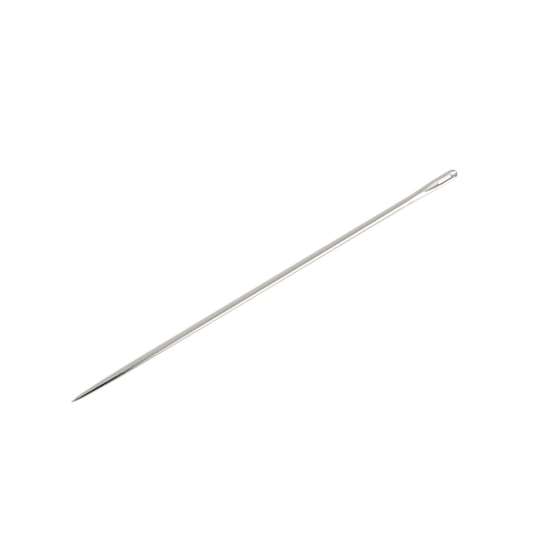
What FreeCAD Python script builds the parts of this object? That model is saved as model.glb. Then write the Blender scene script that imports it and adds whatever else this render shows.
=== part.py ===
"""Hand sewing needle of the sharps kind, one piece of drawn and stamped steel wire.

The needle lies along X, with its point towards -X and its eye towards +X. The eye's hole runs
along Z. The origin is on the needle's axis, half way along the parallel stretch of its shank.
"""
import FreeCAD
import Part
import enum
import math
import os

import Sketcher

V = FreeCAD.Vector
FOLDER = "parts"

# Driving dimensions in millimetres, as alias, value and meaning.
SIZES = [
    ("overall_length", 35.0, "from the tip of the point to the end of the crown"),
    ("wire_dia", 0.62, "full thickness of the round shank"),
    ("nose_radius", 0.018, "rounding left on the very tip by polishing"),
    ("tip_length", 1.1, "steep last stretch of the point"),
    ("tip_dia", 0.382, "thickness where the steep stretch ends"),
    ("point_length", 5.5, "whole ground point, from the tip to its shoulder"),
    ("point_dia", 0.60, "thickness at the shoulder of the point"),
    ("taper_length", 8.0, "long slight taper from the shoulder to the parallel shank"),
    ("flare_length", 2.5, "stretch where the round shank turns into the flat eye"),
    ("eye_width", 0.81, "width over the two rims of the eye"),
    ("eye_thickness", 0.48, "thickness of the stamped eye, along its hole"),
    ("hole_length", 1.20, "clear length of the eye's hole"),
    ("hole_width", 0.30, "clear width of the eye's hole"),
    ("hole_end_flat", 0.12, "straight stretch in each end of the hole, between its corners"),
    ("crown_length", 0.54, "rounded end beyond the hole"),
    ("gutter_depth", 0.135, "how far the groove's floor lies below the crest of the eye"),
    ("gutter_ledge", 0.075, "how far the groove reaches past each side of the hole"),
    ("gutter_floor", 0.6, "level stretch of the groove's floor, up to the hole's far corners"),
    ("gutter_lead_sweep", 9.6, "radius by which the groove sinks from the shank to the hole"),
    ("gutter_end_sweep", 80.0, "radius by which the groove rises again in the crown"),
    ("lip_radius", 0.03, "rounding of the hole's edges, so that they don't cut thread"),
]

# Sizes that follow from the driving ones, as alias, formula and meaning.
WORKED_OUT = [
    ("hole_end", "sizes.overall_length - sizes.crown_length", "from the tip"),
    ("hole_start", "hole_end - sizes.hole_length", "from the tip"),
    ("shank_end", "hole_start - sizes.flare_length", "from the tip"),
    ("shank_start", "sizes.point_length + sizes.taper_length", "from the tip"),
    ("shank_middle", "(shank_start + shank_end) / 2", "from the tip"),
    ("hole_corner", "(sizes.hole_width - sizes.hole_end_flat) / 2", "radius of the corners"),
    ("floor_end", "hole_end - hole_corner", "from the tip"),
    ("gutter_half", "sizes.hole_width / 2 + sizes.gutter_ledge", "half the groove's width"),
    (
        "gutter_rise",
        "sizes.gutter_depth"
        " - sizes.eye_thickness / 2 * (1 - sqrt(1 - (2 * gutter_half / sizes.eye_width)^2))",
        "from the groove's floor up to its edges",
    ),
    (
        "gutter_radius",
        "(gutter_half^2 + gutter_rise^2) / (2 * gutter_rise)",
        "of the groove's round section, through its floor and edges",
    ),
    (
        "gutter_axis",
        "sizes.eye_thickness / 2 - sizes.gutter_depth + gutter_radius",
        "height of the axis that the groove's section is round about",
    ),
]

# Cross sections along the flare, from the round one to the flat one.
FLARE_SECTIONS = 5

# The points of a sketch's line or arc, and the sketch's own origin and horizontal axis.
Spot = enum.IntEnum("Spot", "START END CENTRE")
X_AXIS = -1
ORIGIN = (X_AXIS, Spot.START)


def make_sheet(doc, name, rows):
    """A spreadsheet with one named cell, with its meaning beside it, for each row."""
    sheet = doc.addObject("Spreadsheet::Sheet", name)
    for number, (alias, content, meaning) in enumerate(rows, start=1):
        sheet.set(f"A{number}", alias)
        sheet.set(f"B{number}", content)
        sheet.set(f"C{number}", meaning)
        sheet.setAlias(f"B{number}", alias)
    doc.recompute()
    return sheet


def sketch_on(body, role, name):
    """An empty sketch on one of the body's own planes."""
    sketch = body.newObject("Sketcher::SketchObject", name)
    plane = next(f for f in body.Origin.OriginFeatures if f.Role == role)
    sketch.AttachmentSupport = (plane, [""])
    sketch.MapMode = "FlatFace"
    return sketch


def tie(sketch, *constraints):
    """The geometric constraints, each given as the parts of one constraint."""
    for parts in constraints:
        sketch.addConstraint(Sketcher.Constraint(*parts))


def bind(sketch, name, kind, where, value, expression):
    """A named dimension of the sketch, drawn at value, that follows an expression."""
    index = sketch.addConstraint(Sketcher.Constraint(kind, *where, value))
    sketch.renameConstraint(index, name)
    sketch.setExpression(f"Constraints.{name}", expression)


def arc(centre, start, end):
    """The arc that runs counterclockwise from start to end about centre."""
    circle = Part.Circle(centre, V(0, 0, 1), (start - centre).Length)
    first = math.atan2(start.y - centre.y, start.x - centre.x)
    last = math.atan2(end.y - centre.y, end.x - centre.x)
    if last < first:
        last += 2 * math.pi
    return Part.ArcOfCircle(circle, first, last)


def point_arcs(nose, tip_end, shoulder, shank_start):
    """Centres of the point's three tangent arcs, worked out back from the shoulder."""
    slope = (shank_start - shoulder).normalize()
    normal = V(-slope.y, slope.x, 0)
    reach = tip_end - shoulder
    point_centre = shoulder + normal * (reach.dot(reach) / (2 * reach.dot(normal)))
    normal = (tip_end - point_centre).normalize()
    nose_centre = V(nose, 0, 0)
    reach = tip_end - nose_centre
    tip_radius = (reach.dot(reach) - nose**2) / (2 * (reach.dot(normal) - nose))
    return nose_centre, tip_end - normal * tip_radius, point_centre


def draw_wire(body, size):
    """Half the long section of point, taper and shank, from the tip to where the flare begins."""
    sketch = sketch_on(body, "XZ_Plane", "wire_section")
    nose = size["nose_radius"]
    tip_end = V(size["tip_length"], size["tip_dia"] / 2, 0)
    shoulder = V(size["point_length"], size["point_dia"] / 2, 0)
    shank_start = V(size["shank_start"], size["wire_dia"] / 2, 0)
    shank_end = V(size["shank_end"], size["wire_dia"] / 2, 0)
    foot = V(shank_end.x, 0, 0)
    tip = V(0, 0, 0)
    centres = point_arcs(nose, tip_end, shoulder, shank_start)
    nose_end = centres[0] + (centres[0] - centres[1]).normalize() * nose
    nose_arc, tip_arc, point_arc, taper, shank, end_line, axis = sketch.addGeometry(
        [
            arc(centres[0], nose_end, tip),
            arc(centres[1], tip_end, nose_end),
            arc(centres[2], shoulder, tip_end),
            Part.LineSegment(shoulder, shank_start),
            Part.LineSegment(shank_start, shank_end),
            Part.LineSegment(shank_end, foot),
            Part.LineSegment(foot, tip),
        ],
        False,
    )
    tie(
        sketch,
        ("Coincident", nose_arc, Spot.END, *ORIGIN),
        ("PointOnObject", nose_arc, Spot.CENTRE, X_AXIS),
        ("Tangent", nose_arc, Spot.START, tip_arc, Spot.END),
        ("Tangent", tip_arc, Spot.START, point_arc, Spot.END),
        ("Tangent", point_arc, Spot.START, taper, Spot.START),
        ("Coincident", taper, Spot.END, shank, Spot.START),
        ("Coincident", shank, Spot.END, end_line, Spot.START),
        ("Coincident", end_line, Spot.END, axis, Spot.START),
        ("Coincident", axis, Spot.END, *ORIGIN),
        ("Horizontal", shank),
        ("Vertical", end_line),
        ("Horizontal", axis),
    )
    bind(sketch, "nose", "Radius", (nose_arc,), nose, "sizes.nose_radius")
    for name, where, place, along, across in (
        ("tip", (tip_arc, Spot.START), tip_end, "sizes.tip_length", "sizes.tip_dia / 2"),
        ("shoulder", (taper, Spot.START), shoulder, "sizes.point_length", "sizes.point_dia / 2"),
        ("shank", (shank, Spot.START), shank_start, "worked.shank_start", "sizes.wire_dia / 2"),
    ):
        bind(sketch, f"{name}_along", "DistanceX", (*ORIGIN, *where), place.x, along)
        bind(sketch, f"{name}_across", "DistanceY", (*ORIGIN, *where), place.y, across)
    to_end = (*ORIGIN, shank, Spot.END)
    bind(sketch, "end_along", "DistanceX", to_end, shank_end.x, "worked.shank_end")
    return sketch


def make_wire(body, size):
    """The round part of the needle, turned about its own axis."""
    section = draw_wire(body, size)
    wire = body.newObject("PartDesign::Revolution", "wire")
    wire.Profile = section
    wire.ReferenceAxis = (section, ["H_Axis"])
    wire.Angle = 360


def draw_section(body, size, name, share):
    """The cross section at a share of the flare: an ellipse, or the round wire where it starts."""
    turned = share * share * (3 - 2 * share)
    sketch = sketch_on(body, "YZ_Plane", name)
    sketch.setExpression(
        "AttachmentOffset.Base.z", f"worked.shank_end + {share} * sizes.flare_length"
    )
    radius = size["wire_dia"] / 2
    if turned == 0:
        circle = sketch.addGeometry(Part.Circle(V(0, 0, 0), V(0, 0, 1), radius), False)
        tie(sketch, ("Coincident", circle, Spot.CENTRE, *ORIGIN))
        bind(sketch, "radius", "Radius", (circle,), radius, "sizes.wire_dia / 2")
        return sketch
    half_width = radius + turned * (size["eye_width"] / 2 - radius)
    half_height = radius + turned * (size["eye_thickness"] / 2 - radius)
    outline = Part.Ellipse(V(half_width, 0, 0), V(0, half_height, 0), V(0, 0, 0))
    ellipse = sketch.addGeometry(outline, False)
    sketch.exposeInternalGeometry(ellipse)
    width_line = ellipse + 1
    height_line = width_line + 1
    tie(
        sketch,
        ("Coincident", ellipse, Spot.CENTRE, *ORIGIN),
        ("Horizontal", width_line),
    )
    for label, line, half, cell in (
        ("width", width_line, half_width, "sizes.eye_width"),
        ("height", height_line, half_height, "sizes.eye_thickness"),
    ):
        follows = f"sizes.wire_dia + {turned} * ({cell} - sizes.wire_dia)"
        bind(sketch, label, "Distance", (line,), 2 * half, follows)
    return sketch


def make_blank(body, size):
    """The head before it is pierced: the flare, the flat stretch and the rounded crown."""
    sections = [
        draw_section(body, size, f"flare_section_{step}", step / (FLARE_SECTIONS - 1))
        for step in range(FLARE_SECTIONS)
    ]
    flare = body.newObject("PartDesign::AdditiveLoft", "flare")
    flare.Profile = sections[0]
    flare.Sections = sections[1:]
    flat = body.newObject("PartDesign::Pad", "flat_of_the_eye")
    flat.Profile = sections[-1]
    flat.setExpression("Length", "sizes.hole_length")
    crown = body.newObject("PartDesign::AdditiveEllipsoid", "crown")
    crown.Angle1 = 0
    crown.Angle2 = 90
    crown.Angle3 = 360
    crown.setExpression("Radius1", "sizes.crown_length")
    crown.setExpression("Radius2", "sizes.eye_thickness / 2")
    crown.setExpression("Radius3", "sizes.eye_width / 2")
    crown.Placement = FreeCAD.Placement(V(0, 0, 0), FreeCAD.Rotation(V(0, 1, 0), 90))
    crown.setExpression("Placement.Base.x", "worked.hole_end")


def draw_gutter(body, size):
    """Half the long section of the spindle whose lower side is the groove's floor."""
    sketch = sketch_on(body, "XZ_Plane", "gutter_section")
    sketch.setExpression("AttachmentOffset.Base.y", "worked.gutter_axis")
    radius = size["gutter_radius"]
    lead_sweep = size["gutter_lead_sweep"]
    end_sweep = size["gutter_end_sweep"]
    floor_end = V(size["floor_end"], -radius, 0)
    floor_start = V(floor_end.x - size["gutter_floor"], -radius, 0)
    lead = V(floor_start.x - math.sqrt(2 * lead_sweep * radius - radius**2), 0, 0)
    run_out = V(floor_end.x + math.sqrt(2 * end_sweep * radius - radius**2), 0, 0)
    lead_arc, floor, end_arc, axis = sketch.addGeometry(
        [
            arc(floor_start + V(0, lead_sweep, 0), lead, floor_start),
            Part.LineSegment(floor_start, floor_end),
            arc(floor_end + V(0, end_sweep, 0), floor_end, run_out),
            Part.LineSegment(run_out, lead),
        ],
        False,
    )
    tie(
        sketch,
        ("Tangent", lead_arc, Spot.END, floor, Spot.START),
        ("Tangent", floor, Spot.END, end_arc, Spot.START),
        ("Coincident", end_arc, Spot.END, axis, Spot.START),
        ("Coincident", axis, Spot.END, lead_arc, Spot.START),
        ("PointOnObject", axis, Spot.START, X_AXIS),
        ("PointOnObject", axis, Spot.END, X_AXIS),
        ("Horizontal", floor),
    )
    along_floor = (floor, Spot.START, floor, Spot.END)
    up_to_axis = (floor, Spot.END, axis, Spot.START)
    to_floor_end = (*ORIGIN, floor, Spot.END)
    bind(sketch, "end_along", "DistanceX", to_floor_end, floor_end.x, "worked.floor_end")
    bind(sketch, "floor", "DistanceX", along_floor, size["gutter_floor"], "sizes.gutter_floor")
    bind(sketch, "radius", "DistanceY", up_to_axis, radius, "worked.gutter_radius")
    bind(sketch, "lead", "Radius", (lead_arc,), lead_sweep, "sizes.gutter_lead_sweep")
    bind(sketch, "run_out", "Radius", (end_arc,), end_sweep, "sizes.gutter_end_sweep")
    return sketch


def cut_gutters(doc, body, size):
    """The groove that leads the thread to the hole, in the upper face and in the lower one."""
    section = draw_gutter(body, size)
    upper = body.newObject("PartDesign::Groove", "upper_gutter")
    upper.Profile = section
    upper.ReferenceAxis = (section, ["H_Axis"])
    upper.Angle = 360
    doc.recompute()
    both = body.newObject("PartDesign::Mirrored", "both_gutters")
    both.Originals = [upper]
    plane = next(f for f in body.Origin.OriginFeatures if f.Role == "XY_Plane")
    both.MirrorPlane = (plane, [""])
    body.Tip = both


def draw_hole(body, size):
    """The hole's outline, a long slot with rounded corners."""
    sketch = sketch_on(body, "XY_Plane", "hole_outline")
    corner = size["hole_corner"]
    half = size["hole_width"] / 2
    low, high = size["hole_start"], size["hole_end"]
    straights = [
        (V(low + corner, -half, 0), V(high - corner, -half, 0)),
        (V(high, -half + corner, 0), V(high, half - corner, 0)),
        (V(high - corner, half, 0), V(low + corner, half, 0)),
        (V(low, half - corner, 0), V(low, -half + corner, 0)),
    ]
    centres = [
        V(high - corner, -half + corner, 0),
        V(high - corner, half - corner, 0),
        V(low + corner, half - corner, 0),
        V(low + corner, -half + corner, 0),
    ]
    outline = []
    for (start, end), following, centre in zip(straights, straights[1:] + straights[:1], centres):
        outline += [Part.LineSegment(start, end), arc(centre, end, following[0])]
    items = list(sketch.addGeometry(outline, False))
    near, near_corner, high_end, far_corner, far, _, low_end, low_corner = items
    tie(
        sketch,
        *[
            ("Tangent", item, Spot.END, following, Spot.START)
            for item, following in zip(items, items[1:] + items[:1])
        ],
        ("Horizontal", near),
        ("Horizontal", far),
        ("Symmetric", high_end, Spot.START, high_end, Spot.END, X_AXIS),
        ("Symmetric", low_end, Spot.START, low_end, Spot.END, X_AXIS),
        ("Equal", near_corner, far_corner),
        ("Equal", near_corner, low_corner),
    )
    to_high_end = (*ORIGIN, high_end, Spot.START)
    end_to_end = (low_end, Spot.END, high_end, Spot.START)
    side_to_side = (near, Spot.END, far, Spot.START)
    bind(sketch, "corner", "Radius", (near_corner,), corner, "worked.hole_corner")
    bind(sketch, "end_along", "DistanceX", to_high_end, high, "worked.hole_end")
    bind(sketch, "length", "DistanceX", end_to_end, high - low, "sizes.hole_length")
    bind(sketch, "width", "DistanceY", side_to_side, 2 * half, "sizes.hole_width")
    return sketch


def punch_hole(body, size):
    """The eye's hole, right through the web between the two grooves."""
    hole = body.newObject("PartDesign::Pocket", "hole")
    hole.Profile = draw_hole(body, size)
    hole.Type = "ThroughAll"
    hole.SideType = "Symmetric"


def lip_edges(shape, size):
    """Names of the edges all round the hole's wall, at its upper and its lower end."""
    near = size["lip_radius"] / 100
    low, high = size["hole_start"] - near, size["hole_end"] + near
    half = size["hole_width"] / 2 + near
    found = []
    for face in shape.Faces:
        box = face.BoundBox
        if low < box.XMin and box.XMax < high and -half < box.YMin and box.YMax < half:
            found += [e for e in face.Edges if e.BoundBox.XLength + e.BoundBox.YLength > near]
    return [
        f"Edge{number}"
        for number, edge in enumerate(shape.Edges, start=1)
        if any(edge.isSame(lip) for lip in found)
    ]


def round_lips(body, size):
    """The rounding of both edges of the hole."""
    pierced = body.Tip
    lips = body.newObject("PartDesign::Fillet", "lips")
    lips.Base = (pierced, lip_edges(pierced.Shape, size))
    lips.setExpression("Radius", "sizes.lip_radius")


def make_needle(doc, size):
    """The whole needle as one body, placed by the middle of its shank."""
    body = doc.addObject("PartDesign::Body", "needle")
    body.Label = "needle"
    make_wire(body, size)
    make_blank(body, size)
    doc.recompute()
    cut_gutters(doc, body, size)
    punch_hole(body, size)
    doc.recompute()
    round_lips(body, size)
    body.setExpression("Placement.Base.x", "-worked.shank_middle")
    doc.recompute()
    return body


def check(doc, pieces):
    """Stops with a message if a feature failed or a piece isn't one sound solid."""
    for item in doc.Objects:
        if "Invalid" in item.State or "Error" in item.State:
            raise RuntimeError(f"{item.Label} failed: {item.State}")
    for piece in pieces:
        shape = piece.Shape
        if shape.isNull() or not shape.isValid() or len(shape.Solids) != 1:
            raise RuntimeError(f"{piece.Label} isn't one sound solid")


def export(pieces):
    """One STEP file for each piece, named by its label."""
    os.makedirs(FOLDER, exist_ok=True)
    for piece in pieces:
        piece.Shape.exportStep(os.path.join(FOLDER, f"{piece.Label}.step"))


def main():
    """The document with its two sheets and the needle, checked and exported."""
    doc = FreeCAD.newDocument("sharps_needle")
    driving = [(alias, str(value), meaning) for alias, value, meaning in SIZES]
    formulas = [(alias, f"={formula}", meaning) for alias, formula, meaning in WORKED_OUT]
    sheets = [
        make_sheet(doc, "sizes", driving),
        make_sheet(doc, "worked", formulas),
    ]
    size = {
        alias: float(sheet.get(alias))
        for sheet, rows in zip(sheets, (driving, formulas))
        for alias, _, _ in rows
    }
    needle = make_needle(doc, size)
    check(doc, [needle])
    export([needle])


main()
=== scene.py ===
"""Looks of a hand sewing needle of the sharps kind, laid out as a Blender add-on.

The needle lies along X with its point towards -X, and its eye's hole runs along Z. It is one
closed surface: a grid over a quarter of it, mirrored to the other three quarters, and joined to
them and to the wall of the hole. Distances along the needle are counted from the tip of the
point. All lengths are in metres.
"""
import math

import bmesh
import bpy
import numpy as np
from bpy.props import FloatProperty, FloatVectorProperty, PointerProperty
from mathutils import Matrix, Vector


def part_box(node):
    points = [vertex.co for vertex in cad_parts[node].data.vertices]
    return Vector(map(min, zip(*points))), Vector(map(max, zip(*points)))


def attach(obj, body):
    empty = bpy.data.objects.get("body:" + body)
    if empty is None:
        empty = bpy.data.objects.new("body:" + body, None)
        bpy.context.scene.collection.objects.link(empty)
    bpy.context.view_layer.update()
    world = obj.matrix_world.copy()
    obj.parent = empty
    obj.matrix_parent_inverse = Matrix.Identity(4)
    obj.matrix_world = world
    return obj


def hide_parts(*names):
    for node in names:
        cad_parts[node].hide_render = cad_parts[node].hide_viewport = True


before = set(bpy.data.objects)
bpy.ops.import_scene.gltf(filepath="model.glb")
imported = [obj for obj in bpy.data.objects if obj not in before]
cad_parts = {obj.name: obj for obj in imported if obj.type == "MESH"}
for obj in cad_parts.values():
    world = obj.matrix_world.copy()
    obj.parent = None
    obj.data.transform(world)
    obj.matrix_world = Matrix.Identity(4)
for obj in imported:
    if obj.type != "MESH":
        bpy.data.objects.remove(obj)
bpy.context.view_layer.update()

bl_info = {
    "name": "Sharps Needle",
    "version": (1, 0, 0),
    "blender": (4, 5, 0),
    "location": "3D View > Sidebar > Needle",
    "description": "Makes a polished steel sewing needle and the plain studio it is shown in",
    "category": "Add Mesh",
}

NODE_LOW, NODE_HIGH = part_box("needle")
NODE_SIZE = NODE_HIGH - NODE_LOW
QUARTER_TURN = math.pi / 2


# Sizes and finishes --------------------------------------------------------------------------


def length(name, default, description):
    """A length property in metres."""
    return FloatProperty(
        name=name, description=description, default=default, min=0.0,
        unit="LENGTH", subtype="DISTANCE", precision=6, step=0.001,
    )


def share(name, default, description):
    """A property that runs from nought to one."""
    return FloatProperty(
        name=name, description=description, default=default, min=0.0, max=1.0,
        subtype="FACTOR", precision=3,
    )


class WireSizes(bpy.types.PropertyGroup):
    """The drawn wire: its point, its long taper and its parallel shank."""

    overall: length("Overall length", NODE_SIZE.x, "From the tip to the end of the crown")
    thickness: length("Thickness", NODE_SIZE.z, "Full thickness of the round shank")
    nose: length("Nose radius", 1.8e-5, "Rounding that polishing leaves on the very tip")
    tip_reach: length("Tip length", 1.1e-3, "Steep last stretch of the point")
    tip_thickness: length("Tip thickness", 3.82e-4, "Thickness where the steep stretch ends")
    point_reach: length("Point length", 5.5e-3, "Whole ground point, up to its shoulder")
    point_thickness: length("Point thickness", 6e-4, "Thickness at the point's shoulder")
    taper: length("Taper length", 8e-3, "Slight taper between the point and the shank")


class EyeSizes(bpy.types.PropertyGroup):
    """The stamped head: its flare, hole, grooves and crown."""

    width: length("Eye width", 8.1e-4, "Over the two rims of the eye")
    thickness: length("Eye thickness", 4.8e-4, "Along the hole")
    flare: length("Flare length", 2.5e-3, "Where the round shank turns into the flat eye")
    hole_length: length("Hole length", 1.2e-3, "Clear length of the hole")
    hole_width: length("Hole width", 3e-4, "Clear width of the hole")
    end_flat: length("End flat", 1.2e-4, "Straight stretch in each end of the hole")
    crown: length("Crown length", 5.4e-4, "Rounded end beyond the hole")
    groove_depth: length("Groove depth", 1.35e-4, "Of the groove's floor below the crest")
    groove_ledge: length("Groove ledge", 7.5e-5, "Groove left on each side of the hole")
    floor: length("Groove floor", 6e-4, "Level stretch of it, up to the hole's far corners")
    lead_sweep: length("Lead sweep", 9.6e-3, "Radius by which the groove sinks to the hole")
    end_sweep: length("End sweep", 8e-2, "Radius by which it rises again in the crown")
    lip: length("Lip radius", 3e-5, "Rounding of the hole's edges")
    ridge: length("Ridge rounding", 1.2e-5, "Softening of the groove's two ridges")


class SteelFinish(bpy.types.PropertyGroup):
    """The polished and plated steel."""

    colour: FloatVectorProperty(
        name="Steel colour", description="Reflection of the clean polished steel",
        subtype="COLOR", size=3, min=0.0, max=1.0, default=(0.566, 0.547, 0.523),
    )
    stamped_loss: share("Stamped dulling", 0.28, "How much darker the stamped groove is")
    # How much darker the hole's wall is: partly its dull punched steel, partly painted shade in
    # the hole.
    punched_dulling_and_shade: share("Punched dulling and shade", 0.85, "How much darker the hole's wall is")
    roughness: share("Roughness", 0.09, "Of the polished shank")
    stamped_roughness: share("Stamped roughness", 0.13, "Of the groove")
    punched_roughness: share("Punched roughness", 0.38, "Of the hole's wall")
    streak_width: length("Streak width", 1.6e-5, "Width of the lengthwise polishing streaks")
    streak_reach: length("Streak length", 1.4e-3, "Length of the polishing streaks")
    streak_depth: length("Streak depth", 1.5e-7, "Depth of the polishing streaks")


class StudioSettings(bpy.types.PropertyGroup):
    """The floor, the soft light and the camera."""

    floor_colour: FloatVectorProperty(
        name="Floor colour", description="The plain pale floor",
        subtype="COLOR", size=3, min=0.0, max=1.0, default=(0.20, 0.20, 0.20),
    )
    glow: FloatProperty(
        name="Floor glow", description="Light that the floor gives by itself", default=0.88,
        min=0.0,
    )
    floor_reach: length("Floor reach", 1.5, "Half the floor's width")
    light: FloatProperty(
        name="Overhead light", description="Power of the soft overhead light", default=4.0,
        min=0.0,
    )
    distance: length("Camera distance", 0.1728, "From the camera to the point it looks at")
    tilt: FloatProperty(
        name="Tilt", description="Lean of the view from straight down towards +Y",
        default=math.radians(7.0), subtype="ANGLE", unit="ROTATION",
    )
    turn: FloatProperty(
        name="Turn", description="Rise of the needle across the picture",
        default=math.radians(30.86), subtype="ANGLE", unit="ROTATION",
    )
    lens: FloatProperty(
        name="Lens", description="Focal length in millimetres", default=150.0, min=1.0,
    )


# The needle's form ---------------------------------------------------------------------------


def ease(share_of_way):
    """Smooth step: rises from 0 to 1 with level ends, as 3 s squared less 2 s cubed."""
    s = np.clip(share_of_way, 0.0, 1.0)
    return s * s * (3.0 - 2.0 * s)


def round_radius(t, wire):
    """Radius of the wire at distance t from the tip.

    Back from the shank it is a straight taper, then an arc tangent to the taper at the shoulder
    and passing through the end of the steep tip, then a second arc tangent to the first, then
    the small circle of the nose, which lies inside the second arc's circle and touches it.
    """
    full, nose = wire.thickness / 2, wire.nose
    shoulder = np.array([wire.point_reach, wire.point_thickness / 2])
    tip_end = np.array([wire.tip_reach, wire.tip_thickness / 2])
    shank = np.array([wire.point_reach + wire.taper, full])
    slope = (shank - shoulder) / np.linalg.norm(shank - shoulder)
    normal = np.array([-slope[1], slope[0]])
    reach = tip_end - shoulder
    point_centre = shoulder + normal * (reach @ reach) / (2 * reach @ normal)
    point_radius = np.linalg.norm(shoulder - point_centre)
    normal = (tip_end - point_centre) / point_radius
    nose_centre = np.array([nose, 0.0])
    reach = tip_end - nose_centre
    tip_radius = (reach @ reach - nose**2) / (2 * (reach @ normal - nose))
    tip_centre = tip_end - normal * tip_radius
    off = nose_centre - tip_centre
    nose_end = (nose_centre + off / np.linalg.norm(off) * nose)[0]

    def arc(centre, radius):
        return centre[1] + np.sqrt(np.maximum(radius**2 - (t - centre[0]) ** 2, 0.0))

    return np.select(
        [t < nose_end, t < tip_end[0], t < shoulder[0], t < shank[0]],
        [
            arc(nose_centre, nose),
            arc(tip_centre, tip_radius),
            arc(point_centre, point_radius),
            shoulder[1] + (t - shoulder[0]) * slope[1] / slope[0],
        ],
        default=full,
    )


def half_axes(t, wire, eye):
    """Half the width and half the thickness of the needle's section at distance t.

    The section is round up to the flare, eases into the eye's ellipse along the flare, and
    shrinks in the crown as half an ellipsoid.
    """
    hole_end = wire.overall - eye.crown
    hole_start = hole_end - eye.hole_length
    radius = round_radius(t, wire)
    weight = ease((t - hole_start + eye.flare) / eye.flare)
    crown = np.sqrt(np.maximum(1 - np.clip((t - hole_end) / eye.crown, 0, 1) ** 2, 0.0))
    return (
        (radius + weight * (eye.width / 2 - radius)) * crown,
        (radius + weight * (eye.thickness / 2 - radius)) * crown,
    )


def groove_height(t, y, wire, eye):
    """Height of the groove's surface over the needle's middle plane.

    It is round about a line above the needle and parallel to it. Its radius is constant over
    the level floor and shrinks beyond it as the sinking and rising sweeps.
    """
    corner = (eye.hole_width - eye.end_flat) / 2
    floor_end = wire.overall - eye.crown - corner
    floor_start = floor_end - eye.floor
    half = eye.hole_width / 2 + eye.groove_ledge
    crest_drop = eye.thickness / 2 * (1 - math.sqrt(1 - (2 * half / eye.width) ** 2))
    rise = eye.groove_depth - crest_drop
    radius = (half**2 + rise**2) / (2 * rise)
    axis = eye.thickness / 2 - eye.groove_depth + radius
    lead = np.minimum(np.maximum(floor_start - t, 0.0), eye.lead_sweep)
    tail = np.minimum(np.maximum(t - floor_end, 0.0), eye.end_sweep)
    shrunk = (
        radius
        - (eye.lead_sweep - np.sqrt(eye.lead_sweep**2 - lead**2))
        - (eye.end_sweep - np.sqrt(eye.end_sweep**2 - tail**2))
    )
    return axis - np.sqrt(np.maximum(np.maximum(shrunk, 0.0) ** 2 - y**2, 0.0))


def hole_distance(t, y, wire, eye):
    """Distance outside the hole's outline, which is a rectangle with rounded corners."""
    half = eye.hole_width / 2
    corner = half - eye.end_flat / 2
    middle = wire.overall - eye.crown - eye.hole_length / 2
    along = np.abs(t - middle) - (eye.hole_length / 2 - corner)
    across = np.abs(y) - (half - corner)
    outside = np.hypot(np.maximum(along, 0.0), np.maximum(across, 0.0))
    return outside + np.minimum(np.maximum(along, across), 0.0) - corner


# The needle's surface ------------------------------------------------------------------------

# Stops of the quarter grid along the needle, each count with both ends of its stretch.
NOSE_STOPS, GROUND_STOPS, SHANK_STOPS, FLARE_STOPS = 9, 53, 56, 108
LIP_STOPS, FLAT_STOPS, CORNER_STOPS, SIDE_STOPS, CROWN_STOPS = 7, 8, 17, 62, 72

# Stops across the needle, from the lip's end to the ridge and on to the side, and over the
# hole's wall from face to face. The powers pack the stops towards the ridge.
GROOVE_STOPS, GROOVE_POWER = 15, 1.5
FLANK_STOPS, FLANK_POWER = 25, 1.35
WALL_STOPS = 13
LIP_ROWS = 1 - np.cos(np.linspace(0, QUARTER_TURN, LIP_STOPS))

# The grid's lines across the needle lean away from the hole on their way to its side: by a
# share of the hole's length at its start, by a share of that at its end. The lip takes up the
# first part of the lean.
START_LEAN, END_LEAN, LIP_LEAN = 0.11, 0.8, 0.3

# The ridge's angle round the section, in radians: at least this far from the lip, and as given
# along the plain shank, which has no ridge.
RIDGE_CLEARANCE, PLAIN_RIDGE = 0.10, 0.62
HALVINGS = 36

# The crown is polished again. How much, and where that starts before the needle's end and over
# what stretch it grows, both in crown lengths. The punched wall reaches a little way on to the
# lip, by a share of the lip's radius.
CROWN_POLISH, POLISH_START, POLISH_STRETCH = 0.65, 1.2, 0.5
PUNCHED_EDGE = 0.1

# Least width to divide by, and how near two points and two ends of an edge count as one.
LEAST_WIDTH, SEAM_GAP, SHORTEST_EDGE = 1e-9, 1e-8, 1e-9


def onward(start, end, stops):
    """Evenly spaced stops from start to end, without the start itself."""
    return np.linspace(start, end, stops)[1:]


def ridge_angle(t, wire, eye):
    """Angle round the section at which the groove meets the outside, by halving the interval."""
    wide, thick = half_axes(t, wire, eye)
    low, high = np.zeros_like(t), np.full_like(t, QUARTER_TURN)
    for _ in range(HALVINGS):
        middle = (low + high) / 2
        in_groove = thick * np.cos(middle) > groove_height(t, wide * np.sin(middle), wire, eye)
        low, high = np.where(in_groove, middle, low), np.where(in_groove, high, middle)
    return low


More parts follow.
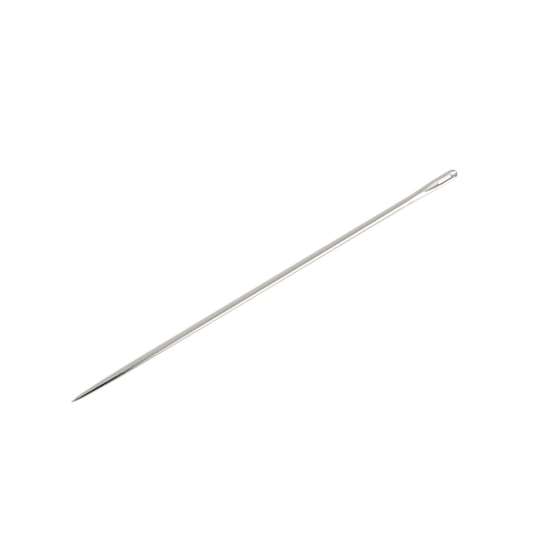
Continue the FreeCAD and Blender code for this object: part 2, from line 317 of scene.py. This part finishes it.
def quarter_lines(wire, eye):
    """The two edge lines of the quarter grid, which run the length of the needle.

    The inner line follows the needle's middle and goes round the hole's outline. The outer line
    runs down the needle's side. Gives the inner line's distance and offset, the outer line's
    distance, and the first and last places on them that are on the hole.
    """
    half = eye.hole_width / 2
    corner = half - eye.end_flat / 2
    end = wire.overall - eye.crown
    start = end - eye.hole_length
    round_lip = onward(0, QUARTER_TURN, LIP_STOPS)
    nose = wire.nose * (1 - np.cos(np.linspace(0, QUARTER_TURN, NOSE_STOPS)))
    point = wire.nose + (wire.point_reach - wire.nose) * onward(0, 1, GROUND_STOPS) ** 2
    shank = onward(wire.point_reach, start - eye.flare, SHANK_STOPS)
    flare = onward(start - eye.flare, start - eye.lip, FLARE_STOPS)
    brink = start - eye.lip * np.cos(round_lip)
    before = np.concatenate([nose, point, shank, flare, brink])

    turn = onward(0, QUARTER_TURN, CORNER_STOPS)
    flat = onward(0, eye.end_flat / 2, FLAT_STOPS)
    side = onward(start + corner, end - corner, SIDE_STOPS)
    hole_t = np.concatenate([
        np.full(flat.size, start), start + corner * (1 - np.cos(turn)), side,
        end - corner * (1 - np.sin(turn)), np.full(flat.size, end),
    ])
    hole_y = np.concatenate([
        flat, half - corner * (1 - np.sin(turn)), np.full(side.size, half),
        half - corner * (1 - np.cos(turn)), flat[::-1] - flat[0],
    ])
    swing = np.concatenate([
        np.arcsin(np.minimum(eye.lip * (1 - np.cos(round_lip)) / eye.crown, 1.0)),
        onward(math.asin(eye.lip / eye.crown), QUARTER_TURN, CROWN_STOPS),
    ])
    after = end + eye.crown * np.sin(swing)

    inner_t = np.concatenate([before, hole_t, after])
    inner_y = np.concatenate([np.zeros(before.size), hole_y, np.zeros(after.size)])
    lean = START_LEAN * eye.hole_length
    walk = np.cumsum(np.hypot(np.diff(hole_t, prepend=start), np.diff(hole_y, prepend=0.0)))
    tail = math.asin(END_LEAN * lean / eye.crown)
    outer_t = np.concatenate([
        before - lean * ease((before - start + eye.flare / 2) / (eye.flare / 2)),
        start - lean + (eye.hole_length + (1 + END_LEAN) * lean) * walk / walk[-1],
        end + eye.crown * np.sin(tail + swing * (1 - tail / QUARTER_TURN)),
    ])
    return inner_t, inner_y, outer_t, before.size - 1, before.size + hole_t.size - 1


def quarter_angles(inner_t, inner_y, outer_t, first, wire, eye):
    """Angle round the section of each point of the quarter grid.

    It runs from the inner line over the lip and the groove to the ridge, and on to the side.
    The rows are packed at the hole's edge and on the ridge.
    """
    wide, _ = half_axes(inner_t, wire, eye)
    start_angle = np.arcsin(np.clip(inner_y / np.maximum(wide, LEAST_WIDTH), 0.0, 1.0))
    lip_angle = eye.lip / (eye.width / 2 * np.cos(start_angle))
    lip_end = start_angle + lip_angle
    ridge = ridge_angle((inner_t + outer_t) / 2, wire, eye)
    ridge = np.maximum(ridge, lip_end + RIDGE_CLEARANCE)
    ridge = np.where(inner_t < inner_t[first] - eye.flare, PLAIN_RIDGE, ridge)
    groove_rows = 1 - (1 - onward(0, 1, GROOVE_STOPS)) ** GROOVE_POWER
    flank_rows = onward(0, 1, FLANK_STOPS) ** FLANK_POWER
    return np.concatenate([
        start_angle[:, None] + lip_angle[:, None] * LIP_ROWS,
        lip_end[:, None] + (ridge - start_angle - lip_angle)[:, None] * groove_rows,
        ridge[:, None] + (QUARTER_TURN - ridge)[:, None] * flank_rows,
    ], axis=1)


def quarter_grid(wire, eye):
    """Points of the quarter with positive Y and Z, and how far each is stamped and punched.

    A point lies at its angle on the section's ellipse, lowered to the groove where that is
    lower, with the ridge between them rounded by the square of their overlap, and lowered again
    by a quarter circle along the hole's edge. The steel is stamped inside the ridge, less so on
    the crown, and punched at the hole's edge.
    """
    inner_t, inner_y, outer_t, first, last = quarter_lines(wire, eye)
    angle = quarter_angles(inner_t, inner_y, outer_t, first, wire, eye)
    beyond_lip = onward(0, 1, GROOVE_STOPS + FLANK_STOPS - 1)
    lean = np.concatenate([LIP_LEAN * LIP_ROWS, LIP_LEAN + (1 - LIP_LEAN) * beyond_lip])
    t = inner_t[:, None] + (outer_t - inner_t)[:, None] * lean
    wide, thick = half_axes(t, wire, eye)
    y = wide * np.sin(angle)
    y[:, 0] = inner_y
    outside = thick * np.cos(angle)
    groove = groove_height(t, y, wire, eye)
    overlap = np.maximum(eye.ridge - np.abs(outside - groove), 0.0)
    z = np.minimum(outside, groove) - overlap**2 / (4 * eye.ridge)
    gap = np.clip(hole_distance(t, y, wire, eye) / eye.lip, 0.0, 1.0)
    z -= eye.lip * (1 - np.sqrt(1 - (1 - gap) ** 2))
    z[:, -1] = 0.0
    y[[0, -1]], z[[0, -1]] = 0.0, 0.0
    t[0], t[-1] = 0.0, wire.overall

    stamped = ease(0.5 + (outside - groove) / (2 * eye.ridge))
    onto_crown = (t - wire.overall + POLISH_START * eye.crown) / (POLISH_STRETCH * eye.crown)
    stamped *= 1 - CROWN_POLISH * ease(onto_crown)
    # The punched mark also carries painted shade: the steel under it is made darker.
    punched = 1 - ease(gap / PUNCHED_EDGE)
    return np.stack([t + NODE_LOW.x, y, z], axis=-1), np.stack([stamped, punched]), first, last


def grid_faces(start, rows, columns, flipped):
    """Corner numbers of a grid's quads, whose points are numbered row by row from start."""
    number = start + np.arange(rows * columns).reshape(rows, columns)
    quads = np.stack(
        [number[:-1, :-1], number[1:, :-1], number[1:, 1:], number[:-1, 1:]], axis=-1
    ).reshape(-1, 4)
    return quads[:, ::-1] if flipped else quads


def close_mesh(mesh):
    """Joins the seams and the two ends, turns the normals outwards and shades it smooth."""
    built = bmesh.new()
    built.from_mesh(mesh)
    bmesh.ops.remove_doubles(built, verts=built.verts, dist=SEAM_GAP)
    bmesh.ops.dissolve_degenerate(built, edges=built.edges, dist=SHORTEST_EDGE)
    bmesh.ops.recalc_face_normals(built, faces=built.faces)
    for face in built.faces:
        face.smooth = True
    open_edges = sum(not line.is_manifold for line in built.edges)
    volume = built.calc_volume(signed=True)
    built.to_mesh(mesh)
    built.free()
    if open_edges or volume <= 0:
        raise RuntimeError(f"the needle isn't closed: {open_edges} edges, volume {volume}")


def needle_mesh(wire, eye):
    """The whole needle: four mirrored quarters, and the wall of the hole between them.

    The wall is ruled straight up from the lower quarter's edge to the upper one's, and counts
    as stamped and punched in full, so it takes the full painted shade of the punched mark.
    """
    quarter, worked, first, last = quarter_grid(wire, eye)
    edge = quarter[first:last + 1, 0]
    climb = np.linspace(1, -1, WALL_STOPS)
    wall = np.stack([
        np.broadcast_to(edge[:, None, 0], (len(edge), climb.size)),
        np.broadcast_to(edge[:, None, 1], (len(edge), climb.size)),
        edge[:, None, 2] * climb,
    ], axis=-1)
    sheets = [(quarter * (1, sy, sz), worked, sy * sz > 0) for sy in (1, -1) for sz in (1, -1)]
    sheets += [(wall * (1, sy, 1), np.ones((2, *wall.shape[:2])), sy < 0) for sy in (1, -1)]
    points, marks, faces, start = [], [], [], 0
    for sheet, mark, flipped in sheets:
        rows, columns = sheet.shape[:2]
        points.append(sheet.reshape(-1, 3))
        marks.append(mark.reshape(2, -1))
        faces.append(grid_faces(start, rows, columns, flipped))
        start += rows * columns
    mesh = bpy.data.meshes.new("needle_polished")
    mesh.from_pydata(np.concatenate(points).tolist(), [], np.concatenate(faces).tolist())
    for name, values in zip(("stamped", "punched"), np.concatenate(marks, axis=1)):
        mesh.attributes.new(name, "FLOAT", "POINT").data.foreach_set("value", values)
    close_mesh(mesh)
    return mesh


# The steel -----------------------------------------------------------------------------------

# The broad bands are so many times longer and wider than the fine streaks.
BAND_REACH, BAND_WIDTH = 3, 5

# Mottle: its patches to the metre, and its relief in streak depths where it is stamped.
MOTTLE_SCALE, MOTTLE_RELIEF = 2600.0, 4.0

# From what values of a pattern to what values in the steel: the streaks and the mottle multiply
# its colour, and the streaks add to its roughness.
STREAK_TONE = (0.7, 1.3, 0.965, 1.02)
MOTTLE_TONE = (0.35, 0.65, 0.975, 1.02)
STREAK_WEAR = (0.75, 1.25, -0.025, 0.035)


class Shading:
    """The emptied node tree of a material or a world, and short calls that add to it."""

    def __init__(self, owner):
        owner.use_nodes = True
        self.nodes, self.links = owner.node_tree.nodes, owner.node_tree.links
        self.nodes.clear()

    def add(self, kind, *feeds, sockets=None, **settings):
        """A new node. Feeds fill its sockets in order, or by name, and None skips a socket."""
        node = self.nodes.new(kind)
        for name, value in settings.items():
            setattr(node, name, value)
        for place, feed in (*enumerate(feeds), *(sockets or {}).items()):
            if isinstance(feed, bpy.types.NodeSocket):
                self.links.new(feed, node.inputs[place])
            elif feed is not None:
                node.inputs[place].default_value = feed
        return node

    def maths(self, operation, *values):
        """The values combined by an operation."""
        return self.add("ShaderNodeMath", *values, operation=operation).outputs[0]

    def noise(self, place, scale, detail, roughness):
        """A soft random pattern in space."""
        return self.add("ShaderNodeTexNoise", place, None, scale, detail, roughness).outputs["Fac"]

    def moved(self, value, low, high, new_low, new_high, fade="LINEAR"):
        """The value moved from one range to another, and held at that range's ends."""
        return self.add("ShaderNodeMapRange", value, low, high, new_low, new_high,
                        interpolation_type=fade).outputs[0]

    def scaled(self, colour, level):
        """The colour times the level."""
        return self.add("ShaderNodeVectorMath", tuple(colour), sockets={"Scale": level},
                        operation="SCALE").outputs[0]

    def stretched(self, place, along, across):
        """The place in space scaled along the needle and across it."""
        return self.add("ShaderNodeMapping", place, None, None, (along, across, across)).outputs[0]


def steel_material(finish):
    """Polished and plated steel: fine lengthwise streaks over a faint mottle.

    It is duller in the stamped groove, and rougher on the punched wall of the hole. That wall is
    darker too, partly for its dull punched steel and partly as painted shade in the hole, and
    its reflection at grazing angles is dimmed with the same painted shade.
    """
    material = bpy.data.materials.new("polished_steel")
    steel = Shading(material)
    place = steel.add("ShaderNodeTexCoord").outputs["Object"]
    across, along = 1 / finish.streak_width, 1 / finish.streak_reach
    fine = steel.stretched(place, along, across)
    streaks = steel.noise(fine, scale=1.0, detail=3.0, roughness=0.6)
    broad = steel.stretched(place, along / BAND_REACH, across / BAND_WIDTH)
    bands = steel.noise(broad, scale=1.0, detail=2.0, roughness=0.5)
    mottle = steel.noise(place, scale=MOTTLE_SCALE, detail=4.0, roughness=0.55)
    stamped = steel.add("ShaderNodeAttribute", attribute_name="stamped").outputs["Fac"]
    punched = steel.add("ShaderNodeAttribute", attribute_name="punched").outputs["Fac"]

    grain = steel.maths("ADD", streaks, bands)
    tone = steel.moved(grain, *STREAK_TONE)
    patch = steel.moved(mottle, *MOTTLE_TONE)
    clean = steel.maths("MULTIPLY", tone, patch)
    dulled = steel.moved(stamped, 0.0, 1.0, 1.0, 1.0 - finish.stamped_loss)
    # Painted shade on the hole's wall and the lip's inner edge, partly dull punched steel too: it
    # darkens the colour and, through the specular tint, the reflection.
    darkened = steel.moved(punched, 0.0, 1.0, 1.0, 1.0 - finish.punched_dulling_and_shade)
    level = steel.maths("MULTIPLY", clean, steel.maths("MULTIPLY", dulled, darkened))

    worn = steel.moved(grain, *STREAK_WEAR)
    rubbed = steel.moved(stamped, 0.0, 1.0, finish.roughness, finish.stamped_roughness)
    torn = steel.maths("MULTIPLY_ADD", punched,
                       finish.punched_roughness - finish.stamped_roughness, rubbed)
    pressed = steel.maths("MULTIPLY", stamped, mottle)
    relief = steel.add("ShaderNodeBump", sockets={
        "Strength": 1.0,
        "Distance": finish.streak_depth,
        "Height": steel.maths("MULTIPLY_ADD", pressed, MOTTLE_RELIEF, streaks),
    })
    surface = steel.add("ShaderNodeBsdfPrincipled", sockets={
        "Metallic": 1.0,
        "Base Color": steel.scaled(finish.colour, level),
        "Specular Tint": steel.scaled((1.0, 1.0, 1.0), darkened),
        "Roughness": steel.maths("ADD", worn, torn),
        "Normal": relief.outputs[0],
    })
    steel.add("ShaderNodeOutputMaterial", surface.outputs[0])
    return material


# The studio ----------------------------------------------------------------------------------

WHITE = (1.0, 1.0, 1.0, 1.0)

# The floor's fibre: its patches to the metre, and from what values of it to what tones.
FIBRE_SCALE, FIBRE_TONE = 900.0, (0.3, 0.7, 0.99, 1.01)

SOFTBOX_WIDTH, SOFTBOX_HEIGHT = 1.6, 1.0
SENSOR_WIDTH = 36.0
NEAREST_SEEN, FARTHEST_SEEN = 0.001, 10.0

# From the needle's middle to the picture's centre, in metres.
AIM_RIGHT, AIM_UP = 0.197e-3, 1.598e-3

# Brightness of the soft surroundings by the angle in degrees from straight up, towards +Y
# where positive: over the shank, past the point's end, past the eye's end, and low down past
# the eye's end.
SHANK_LIGHT = [
    (-180, 1.20), (-100, 1.20), (-85, 1.10), (-74, 1.05), (-64, 1.25), (-55, 1.85), (-46, 2.40),
    (-37, 2.35), (-29, 1.86), (-21, 1.42), (-14, 1.22), (-7, 1.04), (0, 0.76), (7, 0.56),
    (15, 0.55), (25, 0.65), (36, 0.74), (48, 0.84), (62, 0.98), (80, 0.94), (180, 1.0),
]
POINT_LIGHT = [
    (-180, 1.0), (-118, 1.0), (-106, 0.85), (-95, 0.35), (-87, 0.0), (-20, 0.0), (-15, 0.08),
    (-10, 1.18), (-4, 2.20), (3, 0.88), (10, 0.70), (20, 0.61), (32, 0.97), (46, 0.92),
    (62, 0.60), (80, 1.30), (180, 1.0),
]
EYE_LIGHT = [
    (-180, 1.25), (-114, 1.60), (-92, 2.50), (-80, 2.90), (-69, 2.30), (-60, 1.55), (-50, 1.40),
    (-39, 2.15), (-20, 2.50), (-5, 2.00), (7, 1.00), (18, 0.76), (30, 0.92), (38, 0.92),
    (50, 0.76), (84, 0.82), (94, 0.95), (120, 0.98), (180, 1.0),
]
END_LIGHT = [
    (-180, 0.9), (-95, 0.5), (-75, 0.12), (5, 0.10), (35, 0.30), (75, 0.6), (180, 0.9),
]
TOP_LEVEL = 3.2

# A level below WARM_BELOW is tinted warmer, and in full once it is WARM_SPAN lower, by the
# shares of red added and blue taken away.
WARM_BELOW, WARM_SPAN, WARM_RED, WARM_BLUE = 0.95, 0.5, 0.05, 0.08

# By the X part of a direction: from where to where the lights over the shank and the point are
# turned, and from what angle to what angle in radians. Below that, from where to where one
# light gives way to the next.
SHANK_TURN = (-0.0126, 0.16, 0.322, -0.726)
POINT_TURN = (-0.170, -0.105, -0.36, -0.15)
TO_POINT, TO_EYE, TO_END = (-0.045, -0.095), (0.068, 0.084), (0.35, 0.48)


def floor_material(colour, glow_level):
    """A plain pale light table: it glows evenly and takes only a faint shadow."""
    material = bpy.data.materials.new("studio_floor")
    table = Shading(material)
    place = table.add("ShaderNodeTexCoord").outputs["Object"]
    fibre = table.noise(place, scale=FIBRE_SCALE, detail=4.0, roughness=0.6)
    shade = table.scaled(colour, table.moved(fibre, *FIBRE_TONE))
    sheet = table.add("ShaderNodeBsdfDiffuse", shade, 1.0)
    glow = table.add("ShaderNodeEmission", WHITE, glow_level)
    both = table.add("ShaderNodeAddShader", sheet.outputs[0], glow.outputs[0])
    table.add("ShaderNodeOutputMaterial", both.outputs[0])
    return material


def studio_world():
    """Soft surroundings whose brightness depends on the direction alone."""
    world = bpy.data.worlds.new("soft_studio")
    sky = Shading(world)
    direction = sky.add("ShaderNodeTexCoord").outputs["Generated"]
    parts = sky.add("ShaderNodeSeparateXYZ", direction).outputs
    swing = sky.maths("ARCTAN2", parts["Y"], parts["Z"])

    def placed(angle):
        """An angle's place in a ramp, which covers a full turn."""
        return sky.moved(angle, -math.pi, math.pi, 0.0, 1.0)

    def placed_turned(turn, fade):
        """The direction's place in a ramp that is turned by an angle that changes along X."""
        return placed(sky.maths("ADD", swing, sky.moved(parts["X"], *turn, fade)))

    def band(levels, place):
        """A colour ramp with the levels at the angles, a little warmer where it is dim."""
        ramp = sky.add("ShaderNodeValToRGB", place)
        stops = ramp.color_ramp.elements
        ramp.color_ramp.interpolation = "EASE"
        while len(stops) < len(levels):
            stops.new(1.0)
        for stop, (degrees, level) in zip(stops, levels):
            warm = min(max((WARM_BELOW - level) / WARM_SPAN, 0.0), 1.0)
            tint = Vector((1 + WARM_RED * warm, 1.0, 1 - WARM_BLUE * warm))
            stop.position = (degrees + 180) / 360
            stop.color = (*(tint * level / TOP_LEVEL), 1.0)
        return ramp.outputs["Color"]

    def blend(near, far, change):
        """The near light on one side of a change along X, the far light on the other."""
        part = sky.moved(parts["X"], *change, 0.0, 1.0, "SMOOTHSTEP")
        return sky.add("ShaderNodeMixRGB", part, near, far).outputs[0]

    over_shank = band(SHANK_LIGHT, placed_turned(SHANK_TURN, "SMOOTHSTEP"))
    past_point = band(POINT_LIGHT, placed_turned(POINT_TURN, "LINEAR"))
    straight = placed(swing)
    level = blend(over_shank, past_point, TO_POINT)
    level = blend(level, band(EYE_LIGHT, straight), TO_EYE)
    level = blend(level, band(END_LIGHT, straight), TO_END)
    around = sky.add("ShaderNodeBackground", level, TOP_LEVEL)
    plain = sky.add("ShaderNodeBackground", WHITE, 1.0)
    seen = sky.add("ShaderNodeLightPath").outputs["Is Camera Ray"]
    mixed = sky.add("ShaderNodeMixShader", seen, around.outputs[0], plain.outputs[0])
    sky.add("ShaderNodeOutputWorld", mixed.outputs[0])
    return world


def floor_object(studio):
    """The floor: one wide square at the height of the needle's underside."""
    reach, level = studio.floor_reach, NODE_LOW.z
    mesh = bpy.data.meshes.new("studio_floor")
    mesh.from_pydata(
        [(x, y, level) for x, y in
         ((-reach, -reach), (reach, -reach), (reach, reach), (-reach, reach))],
        [], [(0, 1, 2, 3)],
    )
    mesh.materials.append(floor_material(studio.floor_colour, studio.glow))
    return bpy.data.objects.new("studio_floor", mesh)


def softbox_object(power):
    """A wide soft light overhead, which lights the floor and isn't mirrored in the steel."""
    lamp = bpy.data.lights.new("overhead_softbox", "AREA")
    lamp.shape, lamp.size, lamp.size_y = "RECTANGLE", SOFTBOX_WIDTH, SOFTBOX_WIDTH
    lamp.energy = power
    softbox = bpy.data.objects.new("overhead_softbox", lamp)
    softbox.location = (0.0, 0.0, SOFTBOX_HEIGHT)
    softbox.visible_glossy = False
    softbox.visible_camera = False
    return softbox


def camera_object(studio):
    """The camera, tilted from straight down and turned so that the needle rises to the right."""
    tilt, turn = studio.tilt, studio.turn
    back = Vector((0.0, math.sin(tilt), math.cos(tilt)))
    up_slope = Vector((0.0, math.cos(tilt), -math.sin(tilt)))
    along = Vector((1.0, 0.0, 0.0))
    right = along * math.cos(turn) - up_slope * math.sin(turn)
    up = along * math.sin(turn) + up_slope * math.cos(turn)
    middle = Vector(((NODE_LOW.x + NODE_HIGH.x) / 2, 0.0, 0.0))
    aim = middle + right * AIM_RIGHT + up * AIM_UP
    view = bpy.data.cameras.new("camera")
    view.lens, view.sensor_width = studio.lens, SENSOR_WIDTH
    view.clip_start, view.clip_end = NEAREST_SEEN, FARTHEST_SEEN
    camera = bpy.data.objects.new("camera", view)
    facing = Matrix((right, up, back)).transposed().to_4x4()
    camera.matrix_world = Matrix.Translation(aim + back * studio.distance) @ facing
    return camera


# Operators -----------------------------------------------------------------------------------


class SHARPS_OT_make_needle(bpy.types.Operator):
    """Makes the needle in place of its plain solid"""

    bl_idname = "sharps.make_needle"
    bl_label = "Needle"

    def execute(self, context):
        scene = context.scene
        mesh = needle_mesh(scene.sharps_wire, scene.sharps_eye)
        mesh.materials.append(steel_material(scene.sharps_finish))
        needle = bpy.data.objects.new("needle_polished", mesh)
        scene.collection.objects.link(needle)
        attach(needle, "root")
        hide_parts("needle")
        return {"FINISHED"}


class SHARPS_OT_set_stage(bpy.types.Operator):
    """Makes the floor, the soft light and the camera"""

    bl_idname = "sharps.set_stage"
    bl_label = "Stage"

    def execute(self, context):
        scene, studio = context.scene, context.scene.sharps_studio
        floor = floor_object(studio)
        scene.collection.objects.link(floor)
        scene.collection.objects.link(softbox_object(studio.light))
        scene.world = studio_world()
        scene.view_settings.view_transform = "Standard"
        camera = camera_object(studio)
        scene.collection.objects.link(camera)
        scene.camera = camera
        return {"FINISHED"}


class SHARPS_PT_needle(bpy.types.Panel):
    """Lists the needle's sizes and the steps that make it"""

    bl_idname = "SHARPS_PT_needle"
    bl_label = "Sharps needle"
    bl_space_type = "VIEW_3D"
    bl_region_type = "UI"
    bl_category = "Needle"

    def draw(self, context):
        for step, groups in STEPS:
            box = self.layout.box()
            for group in groups:
                settings = getattr(context.scene, group)
                for name in settings.__annotations__:
                    box.prop(settings, name)
            box.operator(step.bl_idname)


GROUPS = {
    "sharps_wire": WireSizes,
    "sharps_eye": EyeSizes,
    "sharps_finish": SteelFinish,
    "sharps_studio": StudioSettings,
}
STEPS = (
    (SHARPS_OT_make_needle, ("sharps_wire", "sharps_eye", "sharps_finish")),
    (SHARPS_OT_set_stage, ("sharps_studio",)),
)
CLASSES = (*GROUPS.values(), SHARPS_OT_make_needle, SHARPS_OT_set_stage, SHARPS_PT_needle)


def register():
    for kind in CLASSES:
        bpy.utils.register_class(kind)
    for name, group in GROUPS.items():
        setattr(bpy.types.Scene, name, PointerProperty(type=group))


def unregister():
    for name in GROUPS:
        delattr(bpy.types.Scene, name)
    for kind in reversed(CLASSES):
        bpy.utils.unregister_class(kind)


def main():
    register()
    bpy.ops.sharps.set_stage()
    bpy.ops.sharps.make_needle()


if __name__ == "__main__":
    main()
